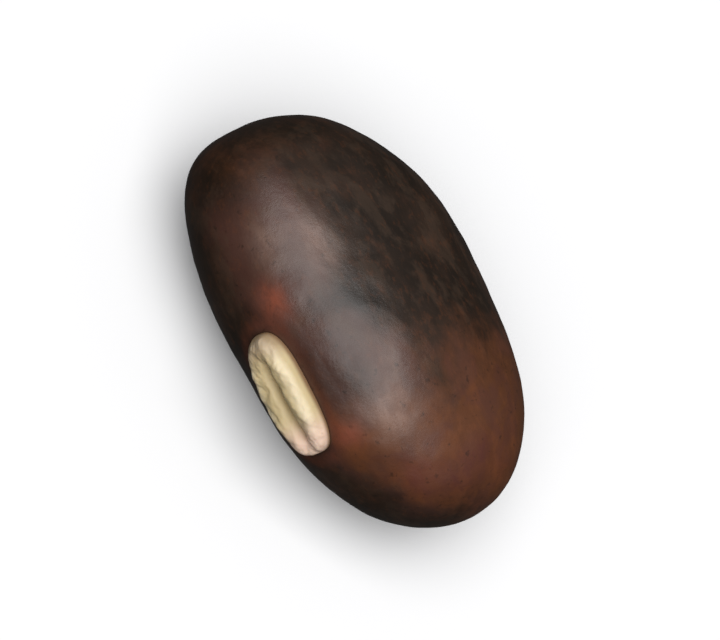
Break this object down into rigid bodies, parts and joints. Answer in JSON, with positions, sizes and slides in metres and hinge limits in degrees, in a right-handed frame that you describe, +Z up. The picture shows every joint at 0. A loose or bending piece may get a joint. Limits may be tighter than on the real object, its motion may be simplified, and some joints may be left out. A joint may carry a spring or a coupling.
{
  "type": "velvet bean seed",
  "caption": "Plump oblong bean seed lying on one flank, with a raised cream lip round the narrow scar on its long edge.",
  "frame": {"origin": "under the middle of the seed's bounding box, on the surface that it rests on", "axes": "+X runs along the seed to the end nearer the hilum, the hilum faces -Y, and +Z is up, from flank to flank"},
  "size_m": [0.0154, 0.01, 0.0072],
  "materials": {
    "seed_coat": "satin dark brown to black seed coat, mottled with reddish brown",
    "aril": "matt cream lip, slightly waxy"
  },
  "bodies": {
    "root": {"seed": "seed_coat"}
  },
  "joints": []
}
